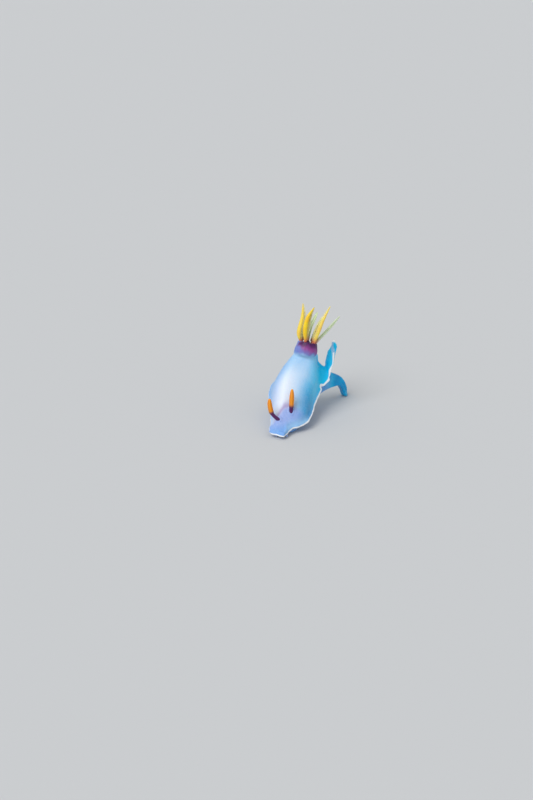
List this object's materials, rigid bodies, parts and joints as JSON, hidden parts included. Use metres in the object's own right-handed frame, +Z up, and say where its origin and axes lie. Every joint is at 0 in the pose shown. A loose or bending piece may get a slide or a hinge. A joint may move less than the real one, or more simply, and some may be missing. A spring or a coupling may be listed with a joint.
{
  "type": "nudibranch sea slug, life-size model",
  "caption": "Still life-size sea slug, arched over its foot, with a crown of gill branches, two club-shaped rhinophores and a raised rear mantle corner; rests on its sole and tail tip.",
  "frame": {"origin": "middle of the model's footprint box, on the level floor that the sole and the tail tip rest on", "axes": "+Z up; -Y is the way the head faces, +Y the tail; +X is the animal's left side"},
  "size_m": [0.0223, 0.0292, 0.0295],
  "materials": {
    "mantle": "wet, smooth, soft sheen",
    "flap": "wet, smooth, soft sheen",
    "foot": "wet, smooth, soft sheen",
    "tail": "wet, smooth, soft sheen",
    "head": "wet, smooth, soft sheen",
    "rhinophore": "wet, ringed by fine leaves",
    "collar": "wet, smooth, soft sheen",
    "gill": "wet, finely leaved, translucent"
  },
  "bodies": {
    "root": {"mantle_front": "mantle", "mantle_middle": "mantle", "mantle_rear": "mantle", "mantle_flap": "flap", "foot_front": "foot", "foot_middle": "foot", "foot_rear": "foot", "tail": "tail", "head": "head", "oral_tentacle_left": "head", "oral_tentacle_right": "head", "rhinophore_left": "rhinophore", "rhinophore_right": "rhinophore", "gill_collar": "collar", "gill_1": "gill", "gill_2": "gill", "gill_3": "gill", "gill_4": "gill", "gill_5": "gill", "gill_6": "gill", "gill_7": "gill"}
  },
  "joints": []
}
